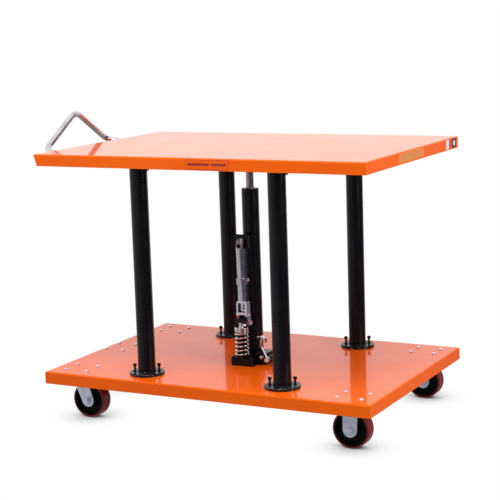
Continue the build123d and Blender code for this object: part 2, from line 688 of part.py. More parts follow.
def lever_roller():
    half = CHEEK_GAP / 2 - 0.5
    roller = along_x(ROLLER_R, PLUNGER_X - half, PLUNGER_X + half, ROLLER_Y, ROLLER_Z)
    return roller - along_x(ROLLER_PIN_R + RUNNING_GAP, PLUNGER_X - 20, PLUNGER_X + 20, ROLLER_Y, ROLLER_Z)


def lever_tube():
    """Leaning tube on the clevis, its end cut back to a wedge in front of the pedal."""
    tube = upright(LEVER_TUBE_R, CLEVIS_TOP - 5, LEVER_TUBE_TOP, PLUNGER_X, TUBE_Y)
    tube -= upright(LEVER_TUBE_BORE_R, CLEVIS_TOP + 6, LEVER_TUBE_TOP + 1, PLUNGER_X, TUBE_Y)
    front = TUBE_Y - LEVER_TUBE_R
    cut = outline_yz([(front - 5, PEDAL_Z[0] - 8), (TUBE_Y + LEVER_TUBE_R - 6, LEVER_TUBE_TOP + 2),
                      (front - 5, LEVER_TUBE_TOP + 2)], PLUNGER_X - 20, PLUNGER_X + 20)
    below = block(PLUNGER_X - 30, PLUNGER_X + 30, TUBE_Y - 40, TUBE_Y + 40, CLEVIS_TOP - 20, CLEVIS_TOP)
    return lean(tube - cut) - below


LUG_BOLT_OUT = 22.5
COLLAR_TURN = 70.0


def around_tube(shape):
    """Turn a collar piece about the tube so that its lugs point back and to the right."""
    return Pos(PLUNGER_X, TUBE_Y, 0) * Rot(0, 0, COLLAR_TURN) * shape


def lever_collar():
    """Clamp ring round the tube, split between two lugs."""
    z0, z1 = COLLAR_Z
    ring = upright(LEVER_TUBE_R + 4.5, z0, z1) + block(12, 27, -7, 7, z0 + 2, z1 - 2)
    ring -= upright(LEVER_TUBE_R, z0 - 1, z1 + 1)
    ring -= block(10, 40, -1.2, 1.2, z0 - 1, z1 + 1)
    return around_tube(ring - along_y(3.2, -10, 10, LUG_BOLT_OUT, (z0 + z1) / 2))


def collar_bolt():
    z = sum(COLLAR_Z) / 2
    bar = along_y(3.0, -8, 12, LUG_BOLT_OUT, z)
    head = Pos(LUG_BOLT_OUT, -9.0, z) * Rot(90, 0, 0) * hexagon(8.0, 4.0)
    nut = Pos(LUG_BOLT_OUT, 9.0, z) * Rot(-90, 0, 0) * hexagon(8.0, 4.0)
    return around_tube(bar + head + nut)


def pedal_plate():
    """Upright foot plate behind the tube's end, with its side edges rolled back."""
    y0 = TUBE_Y + LEVER_TUBE_R
    x = PLUNGER_X
    plate = block(x - 30, x + 30, y0, y0 + 5, PEDAL_Z[0], PEDAL_Z[1])
    plate = fillet(plate.edges().filter_by(Axis.Y), 6)
    return plate


def pedal_pad():
    """Ribbed rubber pad on the foot plate's pushing face."""
    y0 = TUBE_Y + LEVER_TUBE_R + 5
    x = PLUNGER_X
    pad = block(x - 28, x + 28, y0, y0 + 4, PEDAL_Z[0] + 2, PEDAL_Z[1] - 2)
    pad = fillet(pad.edges().filter_by(Axis.Y), 5)
    for rib in range(6):
        z = PEDAL_Z[0] + 7 + rib * 7
        pad += block(x - 24, x + 24, y0 + 3.5, y0 + 6, z - 1.2, z + 1.2)
    return pad


nodes["lever_clevis"] = [lever_clevis()]
nodes["lever_pins"] = lever_pins()
nodes["lever_roller"] = [lever_roller()]
nodes["lever_tube"] = [lever_tube()]
nodes["lever_collar"] = [lean(lever_collar())]
nodes["collar_bolt"] = [lean(collar_bolt())]
nodes["pedal_plate"] = [lean(pedal_plate())]
nodes["pedal_pad"] = [lean(pedal_pad())]


# ---- release lever ----
def release_shaft():
    bar = along_y(5.0, RELEASE_Y - 8, -36, RELEASE_X, RELEASE_Z)
    washer = along_y(8.0, -41.7, -39.5, RELEASE_X, RELEASE_Z)
    nut = Pos(RELEASE_X, RELEASE_Y - 9.5, RELEASE_Z) * Rot(90, 0, 0) * hexagon(13.0, 5.0)
    return bar + washer + nut


RELEASE_ROD_R = 3.3
HOOK_R = 20.0
HOOK_THICK = 3.5
HOOK_HALF = 7.0


def release_lever():
    """Bent rod on the release shaft under a narrow foot strip that curls down on its right."""
    boss = along_y(9.0, RELEASE_Y - 6, RELEASE_Y + 6, RELEASE_X, RELEASE_Z)
    low_bend = (RELEASE_X - 22, RELEASE_Y, DECK_HEIGHT + 64)
    high_bend = (RELEASE_X - 24, RELEASE_Y, DECK_HEIGHT + 84)
    top = (RELEASE_X - 18, RELEASE_Y, DECK_HEIGHT + 102)
    path = bent_path([(RELEASE_X, RELEASE_Y, RELEASE_Z), low_bend, high_bend, top], [30.0, 25.0])
    rod = sweep(Plane(origin=path @ 0, z_dir=path % 0) * Circle(RELEASE_ROD_R), path=path)
    cx = RELEASE_X - 24
    cz = DECK_HEIGHT + 85.0
    strip = along_y(HOOK_R, RELEASE_Y - HOOK_HALF, RELEASE_Y + HOOK_HALF, cx, cz)
    strip -= along_y(HOOK_R - HOOK_THICK, RELEASE_Y - HOOK_HALF - 1, RELEASE_Y + HOOK_HALF + 1, cx, cz)
    strip &= block(cx - 11, cx + HOOK_R + 1, RELEASE_Y - 14, RELEASE_Y + 14, cz - 2, cz + HOOK_R + 1)
    lever = boss + rod + strip
    return lever - along_y(5.0, RELEASE_Y - 9, RELEASE_Y + 9, RELEASE_X, RELEASE_Z)


nodes["release_shaft"] = [release_shaft()]
nodes["release_lever"] = [release_lever()]


# ---- push handle ----
def push_handle():
    """One bent tube: out from the table's end, up to a rounded peak and back."""
    inside = -LENGTH / 2 + 12
    span = HANDLE_HALF_SPAN
    route = [(inside, -span, HANDLE_END_Z), (HANDLE_X, -span, HANDLE_END_Z), (HANDLE_X, 0, HANDLE_APEX_Z),
             (HANDLE_X, span, HANDLE_END_Z), (inside, span, HANDLE_END_Z)]
    path = bent_path(route, [HANDLE_BEND, 60.0, HANDLE_BEND])
    ring = Circle(HANDLE_R) - Circle(HANDLE_R - HANDLE_WALL)
    tube = sweep(Plane(origin=path @ 0, z_dir=path % 0) * ring, path=path)
    half_l = LENGTH / 2
    lip = TABLE_LIP
    table = outline_xz([(-half_l - TABLE_END_SLANT, TOP_HEIGHT + lip), (half_l, TOP_HEIGHT + lip),
                        (half_l, TOP_HEIGHT - lip), (-half_l + TABLE_END_SLANT, TOP_HEIGHT - lip)],
                       -WIDTH / 2, WIDTH / 2)
    return tube - table


nodes["push_handle"] = [push_handle()]

# ---- write one file for each node ----
os.makedirs("parts", exist_ok=True)
for name, solids in nodes.items():
    moved = [Pos(DECK_SHIFT, 0, 0) * solid for solid in solids]
    bodies = [s for shape in moved for s in shape.solids()]
    export_step(bodies[0] if len(bodies) == 1 else Compound(bodies), "parts/" + name + ".step")
    print(name, len(bodies))
print("deck shift", DECK_SHIFT, "nodes", len(nodes))
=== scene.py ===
"""Looks for the four-post lift table: camera, studio, materials and the pieces that finish the CAD frame."""
import json
import math

import bmesh
import bpy
from mathutils import Matrix, Vector


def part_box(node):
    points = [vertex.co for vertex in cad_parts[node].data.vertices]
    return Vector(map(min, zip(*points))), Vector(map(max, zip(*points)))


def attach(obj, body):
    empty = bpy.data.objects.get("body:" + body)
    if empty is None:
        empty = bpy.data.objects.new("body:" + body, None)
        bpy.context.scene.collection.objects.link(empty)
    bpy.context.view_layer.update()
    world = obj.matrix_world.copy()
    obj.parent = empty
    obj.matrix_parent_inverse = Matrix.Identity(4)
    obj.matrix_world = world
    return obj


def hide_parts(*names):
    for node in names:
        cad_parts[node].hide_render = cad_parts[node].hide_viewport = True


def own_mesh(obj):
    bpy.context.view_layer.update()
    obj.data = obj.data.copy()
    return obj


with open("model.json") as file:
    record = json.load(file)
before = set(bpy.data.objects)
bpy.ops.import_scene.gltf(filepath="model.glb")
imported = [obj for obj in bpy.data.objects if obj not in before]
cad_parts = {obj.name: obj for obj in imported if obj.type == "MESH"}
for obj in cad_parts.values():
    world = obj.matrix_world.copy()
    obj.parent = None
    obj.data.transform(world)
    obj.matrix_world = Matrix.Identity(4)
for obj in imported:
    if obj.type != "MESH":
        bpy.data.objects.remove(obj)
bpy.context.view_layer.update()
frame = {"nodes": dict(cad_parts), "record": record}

MM = 0.001
nodes = frame["nodes"]
TAU = math.tau


def corners(node):
    """Lowest and highest corner of a CAD node as vectors."""
    low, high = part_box(node)
    return Vector(low), Vector(high)


def middle(node):
    """Centre of a CAD node's box."""
    low, high = corners(node)
    return (low + high) / 2


RIGHT_X = corners("base_deck")[1].x
table_low, table_high = corners("table_top")
DECK_TOP = corners("base_deck")[1].z
DECK_X = middle("base_deck").x
FRONT_Y = table_low.y
LIP_LOW = table_low.z

# ---- camera ----
CAMERA_AZIMUTH = math.radians(27.74)
CAMERA_ELEVATION = math.radians(9.66)
CAMERA_ROLL = math.radians(-1.85)
CAMERA_DISTANCE = 5.2112
CAMERA_ASIDE = -0.00678
CAMERA_UP = 0.38528
CAMERA_LENS = 106.5


def make_camera():
    """Long lens from the front right, a little above the deck, tipped as the picture is."""
    a, e, r = CAMERA_AZIMUTH, CAMERA_ELEVATION, CAMERA_ROLL
    back = Vector((math.sin(a) * math.cos(e), -math.cos(a) * math.cos(e), math.sin(e)))
    right = Vector((math.cos(a), math.sin(a), 0.0))
    up = back.cross(right)
    x_axis = right * math.cos(r) + up * math.sin(r)
    y_axis = up * math.cos(r) - right * math.sin(r)
    place = back * CAMERA_DISTANCE + right * CAMERA_ASIDE + up * CAMERA_UP
    place += Vector((DECK_X, 0.0, DECK_TOP))
    data = bpy.data.cameras.new("camera")
    data.lens = CAMERA_LENS
    data.sensor_width = 36.0
    data.clip_end = 60.0
    camera = bpy.data.objects.new("camera", data)
    bpy.context.scene.collection.objects.link(camera)
    turn = Matrix((x_axis, y_axis, back)).transposed()
    camera.matrix_world = Matrix.Translation(place) @ turn.to_4x4()
    bpy.context.scene.camera = camera


make_camera()
bpy.context.scene.view_settings.view_transform = "Standard"


# ---- node tree helpers ----
class Tree:
    """Small wrapper that adds shader nodes and links them."""

    def __init__(self, tree):
        self.tree = tree

    def add(self, kind, **settings):
        node = self.tree.nodes.new(kind)
        for key, value in settings.items():
            setattr(node, key, value)
        return node

    def link(self, source, target):
        self.tree.links.new(source, target)

    def noise(self, scale, detail=3.0, rough=0.5, stretch=(1, 1, 1)):
        """Noise in the object's own metres."""
        coords = self.add("ShaderNodeTexCoord")
        mapping = self.add("ShaderNodeMapping")
        mapping.inputs["Scale"].default_value = stretch
        texture = self.add("ShaderNodeTexNoise")
        texture.inputs["Scale"].default_value = scale
        texture.inputs["Detail"].default_value = detail
        texture.inputs["Roughness"].default_value = rough
        self.link(coords.outputs["Object"], mapping.inputs["Vector"])
        self.link(mapping.outputs["Vector"], texture.inputs["Vector"])
        return texture.outputs["Fac"]

    def ramp(self, source, stops):
        """Colour ramp: stops are (position, colour)."""
        ramp = self.add("ShaderNodeValToRGB")
        elements = ramp.color_ramp.elements
        for element, (place, color) in zip(elements, stops):
            element.position = place
            element.color = (*color, 1.0)
        for place, color in stops[2:]:
            elements.new(place).color = (*color, 1.0)
        self.link(source, ramp.inputs["Fac"])
        return ramp.outputs["Color"]

    def spread(self, source, low, high, start=0.3, end=0.7):
        """Maps a 0..1 source to a range."""
        span = self.add("ShaderNodeMapRange")
        span.inputs["From Min"].default_value = start
        span.inputs["From Max"].default_value = end
        span.inputs["To Min"].default_value = low
        span.inputs["To Max"].default_value = high
        self.link(source, span.inputs["Value"])
        return span.outputs["Result"]

    def bump(self, height, strength, distance, normal=None):
        """Normal from a height source."""
        bump = self.add("ShaderNodeBump")
        bump.inputs["Strength"].default_value = strength
        bump.inputs["Distance"].default_value = distance
        self.link(height, bump.inputs["Height"])
        if normal is not None:
            self.link(normal, bump.inputs["Normal"])
        return bump.outputs["Normal"]

    def rounded(self, radius):
        """Normal that softens sharp edges over a small radius."""
        bevel = self.add("ShaderNodeBevel", samples=4)
        bevel.inputs["Radius"].default_value = radius
        return bevel.outputs["Normal"]


def new_material(name, **sockets):
    """Principled material with its constant sockets set."""
    material = bpy.data.materials.new(name)
    material.use_nodes = True
    shader = material.node_tree.nodes["Principled BSDF"]
    for key, value in sockets.items():
        shader.inputs[key.replace("_", " ")].default_value = value
    return material, Tree(material.node_tree), shader


def mixed(tree, factor, first, second):
    """Two colours or colour sources mixed by a factor."""
    mix = tree.add("ShaderNodeMix", data_type="RGBA")
    tree.link(factor, mix.inputs["Factor"])
    for socket, value in ((mix.inputs[6], first), (mix.inputs[7], second)):
        if isinstance(value, tuple):
            socket.default_value = (*value, 1.0)
        else:
            tree.link(value, socket)
    return mix.outputs[2]


# ---- materials ----
def orange_coat():
    """Gloss orange powder coat: faint colour drift, orange peel, handling haze and fine scuffs."""
    material, tree, shader = new_material("orange_powder_coat", IOR=1.3, Coat_Weight=1.0, Coat_IOR=1.19,
                                          Coat_Roughness=0.04, Specular_IOR_Level=0.1)
    drift = tree.noise(2.2, 3.0)
    base = tree.ramp(drift, [(0.3, (0.95, 0.118, 0.0)), (0.7, (1.0, 0.142, 0.0))])
    scuffs = tree.spread(tree.noise(26.0, 5.0, 0.65, (1.0, 6.0, 1.0)), 0.0, 0.10, 0.64, 0.76)
    tree.link(mixed(tree, scuffs, base, (0.70, 0.15, 0.02)), shader.inputs["Base Color"])
    tree.link(tree.spread(tree.noise(9.0, 4.0), 0.30, 0.42), shader.inputs["Roughness"])
    peel = tree.bump(tree.noise(300.0, 2.0, 0.4), 0.03, 0.0001, tree.rounded(0.0012))
    tree.link(peel, shader.inputs["Normal"])
    tree.link(peel, shader.inputs["Coat Normal"])
    return material


def black_enamel(name, chips_and_sparkle):
    """Gloss black paint with slight orange peel; chips_and_sparkle is how much light grey speckle shows,
    partly metal through wear and partly painted highlight sparkle.
    """
    material, tree, shader = new_material(name, Coat_Weight=0.12, Coat_Roughness=0.05, IOR=1.3, Coat_IOR=1.4,
                                          Specular_IOR_Level=0.4)
    base = tree.ramp(tree.noise(14.0, 5.0), [(0.35, (0.002, 0.0015, 0.0035)), (0.75, (0.006, 0.004, 0.006))])
    # light grey speckle, partly metal showing through wear and partly painted highlight sparkle
    chip_and_sparkle_mask = tree.spread(tree.noise(190.0, 5.0, 0.7), 0.0, chips_and_sparkle, 0.56, 0.66)
    tree.link(mixed(tree, chip_and_sparkle_mask, base, (0.42, 0.40, 0.46)), shader.inputs["Base Color"])
    tree.link(tree.spread(tree.noise(22.0, 4.0), 0.20, 0.38), shader.inputs["Roughness"])
    tree.link(tree.bump(tree.noise(400.0, 2.0), 0.05, 0.0001, tree.rounded(0.0008)), shader.inputs["Normal"])
    return material


def chrome(name, low, high, rough):
    """Chrome plate with light polishing lines and smudges."""
    material, tree, shader = new_material(name, Metallic=1.0)
    tree.link(tree.ramp(tree.noise(30.0, 4.0), [(0.3, low), (0.7, high)]), shader.inputs["Base Color"])
    tree.link(tree.spread(tree.noise(45.0, 5.0, 0.6), rough, rough * 2.2), shader.inputs["Roughness"])
    tree.link(tree.bump(tree.noise(300.0, 3.0), 0.06, 0.0002, tree.rounded(0.0007)), shader.inputs["Normal"])
    return material


def zinc(name, shade):
    """Zinc plate: mottled grey with a hint of passivation tint; shade scales its brightness, and below 1 it
    makes a darker copy as painted shade.
    """
    material, tree, shader = new_material(name, Metallic=0.85)
    tints = ((0.3, (0.60, 0.64, 0.76)), (0.5, (0.74, 0.79, 0.92)), (0.72, (0.88, 0.89, 0.95)))
    stops = [(place, tuple(part * shade for part in tint)) for place, tint in tints]
    tree.link(tree.ramp(tree.noise(60.0, 5.0, 0.6), stops), shader.inputs["Base Color"])
    tree.link(tree.spread(tree.noise(120.0, 4.0), 0.30, 0.48), shader.inputs["Roughness"])
    tree.link(tree.bump(tree.noise(900.0, 3.0), 0.15, 0.0002, tree.rounded(0.0007)), shader.inputs["Normal"])
    return material


def ground_steel():
    """Ground steel with fine lines round or along the part."""
    material, tree, shader = new_material("ground_steel", Metallic=1.0)
    lines = tree.noise(40.0, 6.0, 0.7, (1.0, 1.0, 40.0))
    base = tree.ramp(lines, [(0.3, (0.34, 0.34, 0.35)), (0.7, (0.55, 0.55, 0.56))])
    tree.link(base, shader.inputs["Base Color"])
    tree.link(tree.spread(lines, 0.22, 0.42), shader.inputs["Roughness"])
    tree.link(tree.bump(lines, 0.12, 0.0002, tree.rounded(0.0006)), shader.inputs["Normal"])
    return material


def bronze():
    """Sintered bronze, slightly porous."""
    material, tree, shader = new_material("sintered_bronze", Metallic=1.0)
    base = tree.ramp(tree.noise(220.0, 4.0), [(0.35, (0.30, 0.17, 0.06)), (0.65, (0.56, 0.36, 0.16))])
    tree.link(base, shader.inputs["Base Color"])
    tree.link(tree.spread(tree.noise(300.0), 0.35, 0.55), shader.inputs["Roughness"])
    return material


def red_tread():
    """Dark red polyurethane with rolling scuffs and dust on the running face."""
    material, tree, shader = new_material("red_polyurethane", IOR=1.4, Coat_Weight=0.15, Coat_Roughness=0.2)
    base = tree.ramp(tree.noise(35.0, 5.0, 0.6), [(0.3, (0.15, 0.001, 0.004)), (0.75, (0.27, 0.003, 0.008))])
    dust = tree.spread(tree.noise(90.0, 6.0, 0.7), 0.0, 0.10, 0.55, 0.8)
    tree.link(mixed(tree, dust, base, (0.22, 0.12, 0.10)), shader.inputs["Base Color"])
    tree.link(tree.spread(tree.noise(50.0, 4.0), 0.32, 0.55), shader.inputs["Roughness"])
    tree.link(tree.bump(tree.noise(700.0, 3.0), 0.2, 0.0002), shader.inputs["Normal"])
    return material


def black_moulding(name, light, rough, shine):
    """Moulded black plastic or rubber with a fine spark-eroded grain."""
    material, tree, shader = new_material(name, IOR=1.4, Specular_IOR_Level=shine)
    low = (0.001, 0.0008, 0.0015)
    high = (light, light, light * 1.05)
    tree.link(tree.ramp(tree.noise(50.0, 5.0), [(0.3, low), (0.7, high)]), shader.inputs["Base Color"])
    tree.link(tree.spread(tree.noise(80.0, 4.0), rough - 0.1, rough + 0.1), shader.inputs["Roughness"])
    tree.link(tree.bump(tree.noise(1500.0, 2.0), 0.25, 0.0002, tree.rounded(0.0008)), shader.inputs["Normal"])
    return material


MATERIALS = {
    "orange_paint": orange_coat(),
    "black_paint": black_enamel("black_enamel", 0.0),
    "chrome": chrome("chrome_plate", (0.56, 0.54, 0.58), (0.74, 0.73, 0.76), 0.06),
    "zinc": zinc("zinc_plate", 1.0),
    "steel": ground_steel(),
    "bronze": bronze(),
    "red_tread": red_tread(),
    "black_core": black_moulding("black_core_plastic", 0.003, 0.42, 0.12),
    "rubber": black_moulding("black_rubber", 0.028, 0.7, 0.3),
}


def vinyl(name, low, high):
    """Printed vinyl film: slight fading and rub marks."""
    material, tree, shader = new_material(name, IOR=1.45)
    tree.link(tree.ramp(tree.noise(60.0, 5.0, 0.6), [(0.35, low), (0.7, high)]), shader.inputs["Base Color"])
    tree.link(tree.spread(tree.noise(120.0, 3.0), 0.3, 0.5), shader.inputs["Roughness"])
    return material


VINYLS = {
    "white": vinyl("vinyl_white", (0.72, 0.74, 0.78), (0.86, 0.87, 0.9)),
    "red": vinyl("vinyl_red", (0.62, 0.03, 0.03), (0.78, 0.06, 0.04)),
    "black": vinyl("vinyl_black", (0.012, 0.01, 0.016), (0.03, 0.025, 0.035)),
    "yellow": vinyl("vinyl_yellow", (0.84, 0.22, 0.02), (0.92, 0.28, 0.04)),
    "tan": vinyl("vinyl_tan", (0.46, 0.24, 0.06), (0.56, 0.30, 0.09)),
    "plum": vinyl("vinyl_plum", (0.26, 0.02, 0.02), (0.36, 0.035, 0.025)),
}


def dress(obj, slot):
    """Gives an object its material by the record's slot name."""
    obj.data.materials.clear()
    obj.data.materials.append(MATERIALS[slot])


for subpart in frame["record"]["subparts"]:
    dress(nodes[subpart["node"]], subpart["material_slot"])

# flanges and low bolts: heavy light grey speckle, partly wear and partly painted highlight sparkle
ENAMEL_CHIPS_AND_PAINTED_SPARKLE = black_enamel("black_enamel_chips_and_painted_sparkle", 0.75)
# fork legs: the same zinc painted darker, as painted shade beside the brighter zinc bolts
FORK_ZINC_PAINTED_SHADE = zinc("fork_zinc_painted_shade", 0.85)
# piston rod chrome with a dark brownish-purple base colour: painted reflection of the orange paint and dark
# surroundings round the rod
ROD_CHROME_PAINTED_REFLECTION = chrome("rod_chrome_painted_reflection", (0.26, 0.20, 0.22), (0.36, 0.28, 0.29), 0.12)
OWN_FINISH = {"post_flanges": ENAMEL_CHIPS_AND_PAINTED_SPARKLE, "post_low_bolts": ENAMEL_CHIPS_AND_PAINTED_SPARKLE, "piston_rod": ROD_CHROME_PAINTED_REFLECTION,
              "fixed_forks": FORK_ZINC_PAINTED_SHADE, "swivel_fork_front": FORK_ZINC_PAINTED_SHADE, "swivel_fork_rear": FORK_ZINC_PAINTED_SHADE}
for node, finish in OWN_FINISH.items():
    nodes[node].data.materials[0] = finish


# ---- mesh helpers ----
def mesh_object(name, bm, slot, smooth=True):
    """Makes an object from a bmesh, dressed in a slot's material."""
    bmesh.ops.recalc_face_normals(bm, faces=bm.faces)
    mesh = bpy.data.meshes.new(name)
    bm.to_mesh(mesh)
    bm.free()
    for face in mesh.polygons:
        face.use_smooth = smooth
    obj = bpy.data.objects.new(name, mesh)
    bpy.context.scene.collection.objects.link(obj)
    dress(obj, slot)
    return obj


def place_piece(obj, body, slot, *replaced):
    """Ties a piece to a body, and hides the CAD nodes it replaces, which are named in replaced; slot is not
    used.
    """
    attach(obj, body)
    if replaced:
        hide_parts(*replaced)
    return obj


def tube_mesh(bm, points, radii, around=12, closed=False):
    """Skins a tube along points; radii is one number or one for each point."""
    count = len(points)
    if not isinstance(radii, (list, tuple)):
        radii = [radii] * count
    rings = []
    side = None
    for i, point in enumerate(points):
        after = points[(i + 1) % count] if closed or i + 1 < count else point
        before = points[i - 1] if closed or i > 0 else point
        along = (after - before).normalized()
        if side is None:
            side = along.orthogonal().normalized()
        side = (side - along * side.dot(along)).normalized()
        other = along.cross(side)
        ring = []
        for k in range(around):
            turn = TAU * k / around
            ring.append(bm.verts.new(point + (side * math.cos(turn) + other * math.sin(turn)) * radii[i]))
        rings.append(ring)
    pairs = list(zip(rings, rings[1:]))
    if closed:
        pairs.append((rings[-1], rings[0]))
    for first, second in pairs:
        for k in range(around):
            bm.faces.new((first[k], first[(k + 1) % around], second[(k + 1) % around], second[k]))
    if not closed:
        bm.faces.new(list(reversed(rings[0])))
        bm.faces.new(rings[-1])


def weld_ring(name, centre, radius, bead, body, slot, axis="Z", shear=0.0):
    """Rippled fillet weld round a tube; shear slants the ring along a sloping plate."""
    bm = bmesh.new()
    steps = 96
    points = []
    radii = []
    for i in range(steps):
        turn = TAU * i / steps
        u, w = radius * math.cos(turn), radius * math.sin(turn)
        offset = Vector((u, w, 0.0)) if axis == "Z" else Vector((shear * w, u, w))
        points.append(centre + offset)
        radii.append(bead * (0.85 + 0.15 * math.cos(TAU * i / 4)))
    tube_mesh(bm, points, radii, 10, closed=True)
    return place_piece(mesh_object(name, bm, slot), body, slot)


# ---- return spring ----
SPRING_WIRE = 2.8 * MM
SPRING_TURNS = 5.6
END_TURNS = 0.8
END_SHARE = 0.9
POINTS_A_TURN = 28


def coil_points(centre, radius, z0, z1):
    """Coil with its end turns closed up flat, as a compression spring has."""
    all_turns = SPRING_TURNS + 2 * END_TURNS
    rise = SPRING_WIRE * END_SHARE
    points = []
    for i in range(int(all_turns * POINTS_A_TURN) + 1):
        turn = i / POINTS_A_TURN
        if turn < END_TURNS:
            z = z0 + rise * turn / END_TURNS
        elif turn > SPRING_TURNS + END_TURNS:
            z = z1 - rise * (all_turns - turn) / END_TURNS
        else:
            z = z0 + rise + (z1 - z0 - 2 * rise) * (turn - END_TURNS) / SPRING_TURNS
        angle = TAU * turn
        points.append(centre + Vector((radius * math.cos(angle), radius * math.sin(angle), z - centre.z)))
    return points


def return_spring():
    """True coil in place of the CAD spring."""
    low, high = corners("return_spring")
    centre = (low + high) / 2
    radius = (high.x - low.x) / 2 - SPRING_WIRE
    bm = bmesh.new()
    tube_mesh(bm, coil_points(centre, radius, low.z + SPRING_WIRE, high.z - SPRING_WIRE), SPRING_WIRE, 12)
    spring = place_piece(mesh_object("coil_spring", bm, "chrome"), "base", "chrome", "return_spring")
    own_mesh(spring)


return_spring()


# ---- valve plug and release spring ----
PLUG_FROM_RIGHT = 36 * MM
PLUG_ABOVE_DECK = 27 * MM
# distance out of the block and radius, in mm: washer, then the domed head
PLUG_PROFILE = [(0.0, 8.0), (1.8, 8.0), (2.0, 6.6), (7.0, 6.6),
                (8.6, 6.0), (10.0, 4.4), (10.8, 2.2), (11.0, 0.6)]
TORSION_WIRE = 0.7 * MM
TORSION_RADIUS = 7.4 * MM
TORSION_PITCH = 1.5 * MM
TORSION_GAP = 0.9 * MM
TORSION_POINTS = 24


def valve_plug():
    """Chromed domed plug with its washer in the front of the valve block."""
    low, high = corners("valve_block")
    seat = Vector((high.x - PLUG_FROM_RIGHT, low.y, DECK_TOP + PLUG_ABOVE_DECK))
    points = [seat + Vector((0, -out * MM, 0)) for out, _ in PLUG_PROFILE]
    bm = bmesh.new()
    tube_mesh(bm, points, [radius * MM for _, radius in PLUG_PROFILE], 24)
    place_piece(mesh_object("valve_plug", bm, "chrome"), "base", "chrome")


def release_spring():
    """Torsion spring round the release shaft, with one leg resting on the pump block."""
    centre = middle("release_shaft")
    start = corners("release_lever")[1].y + TORSION_GAP
    points = []
    for i in range(2 * TORSION_POINTS + 1):
        turn = TAU * i / TORSION_POINTS
        x, z = TORSION_RADIUS * math.cos(turn), TORSION_RADIUS * math.sin(turn)
        points.append(Vector((centre.x + x, start + TORSION_PITCH * i / TORSION_POINTS, centre.z + z)))
    points += [points[-1] + Vector((0, 0, -6 * MM)), points[-1] + Vector((-4 * MM, 0, -12 * MM))]
    bm = bmesh.new()
    tube_mesh(bm, points, TORSION_WIRE, 8)
    place_piece(mesh_object("release_spring", bm, "steel"), "base", "steel")


valve_plug()
release_spring()


# ---- welds ----
# outset of the weld's ring from the tube, and radius of its bead
POST_WELD = (0.8 * MM, 2.4 * MM)
RAM_WELD = (0.6 * MM, 2.2 * MM)
HANDLE_WELD = (0.6 * MM, 2.0 * MM)
FLANGE_THICK = 9.0 * MM
HANDLE_RADIUS = 11.0 * MM
HANDLE_HALF_GAP = 212.0 * MM
LEFT_LIP_SLOPE = 14.0 / 40.0

for label in ("left_front", "left_rear", "right_front", "right_rear"):
    low, high = corners("post_tube_" + label)
    foot = Vector(((low.x + high.x) / 2, (low.y + high.y) / 2, low.z + FLANGE_THICK))
    ring = (high.x - low.x) / 2 + POST_WELD[0]
    weld_ring("weld_post_" + label, foot, ring, POST_WELD[1], "base", "black_paint")
low, high = corners("ram_tube")
foot = Vector((DECK_X, 0.0, low.z))
ring = (high.x - low.x) / 2 + RAM_WELD[0]
weld_ring("weld_ram_foot", foot, ring, RAM_WELD[1], "base", "black_paint")
handle_end_z = corners("push_handle")[0].z + HANDLE_RADIUS
for sign in (-1, 1):
    lip_x = table_low.x + LEFT_LIP_SLOPE * (table_high.z - handle_end_z) - 1.0 * MM
    spot = Vector((lip_x, sign * HANDLE_HALF_GAP, handle_end_z))
    name = "weld_handle_%d" % (sign + 1)
    ring = HANDLE_RADIUS + HANDLE_WELD[0]
    weld_ring(name, spot, ring, HANDLE_WELD[1], "platform", "chrome", "X", -LEFT_LIP_SLOPE)


# ---- labels: plain shapes with no lettering ----
FILM = 0.15 * MM
FILM_LIFT = 0.05 * MM


def film(bm, origin, across, up, points):
    """Thin film patch: points are (across, up) in metres on the plate at origin."""
    out = across.cross(up).normalized()
    back = [bm.verts.new(origin + across * u + up * w + out * FILM_LIFT) for u, w in points]
    face = [bm.verts.new(origin + across * u + up * w + out * (FILM_LIFT + FILM)) for u, w in points]
    bm.faces.new(face)
    bm.faces.new(list(reversed(back)))
    count = len(points)
    for i in range(count):
        j = (i + 1) % count
        bm.faces.new((back[i], back[j], face[j], face[i]))


def patch(name, color, origin, across, up, shapes):
    """One label piece made of several film patches."""
    bm = bmesh.new()
    for points in shapes:
        film(bm, origin, across, up, points)
    obj = mesh_object(name, bm, "orange_paint", smooth=False)
    obj.data.materials[0] = VINYLS[color]
    return place_piece(obj, "platform", "orange_paint")


def rectangle(u0, u1, w0, w1, corner=0.0):
    """Corner points of a rectangle with cut corners."""
    c = corner
    if not c:
        return [(u0, w0), (u1, w0), (u1, w1), (u0, w1)]
    return [(u0 + c, w0), (u1 - c, w0), (u1, w0 + c), (u1, w1 - c), (u1 - c, w1), (u0 + c, w1), (u0, w1 - c),
            (u0, w0 + c)]


def front_label():
    """Outlined plate on the front lip with two plain bars inside."""
    left, foot = DECK_X - 17 * MM, LIP_LOW + 4 * MM
    origin = Vector((left, FRONT_Y, foot))
    wide, tall, line = 160 * MM, 31 * MM, 1.2 * MM
    frame_bars = [rectangle(0, wide, 0, line), rectangle(0, wide, tall - line, tall),
                  rectangle(0, line, line, tall - line), rectangle(wide - line, wide, line, tall - line)]
    low, high = 12 * MM, 20 * MM
    bars = [rectangle(8 * MM, 88 * MM, low, high, 1 * MM), rectangle(96 * MM, 150 * MM, low, high, 1 * MM)]
    patch("front_label_frame", "plum", origin, Vector((1, 0, 0)), Vector((0, 0, 1)), frame_bars)
    patch("front_label_bars", "plum", origin, Vector((1, 0, 0)), Vector((0, 0, 1)), bars)


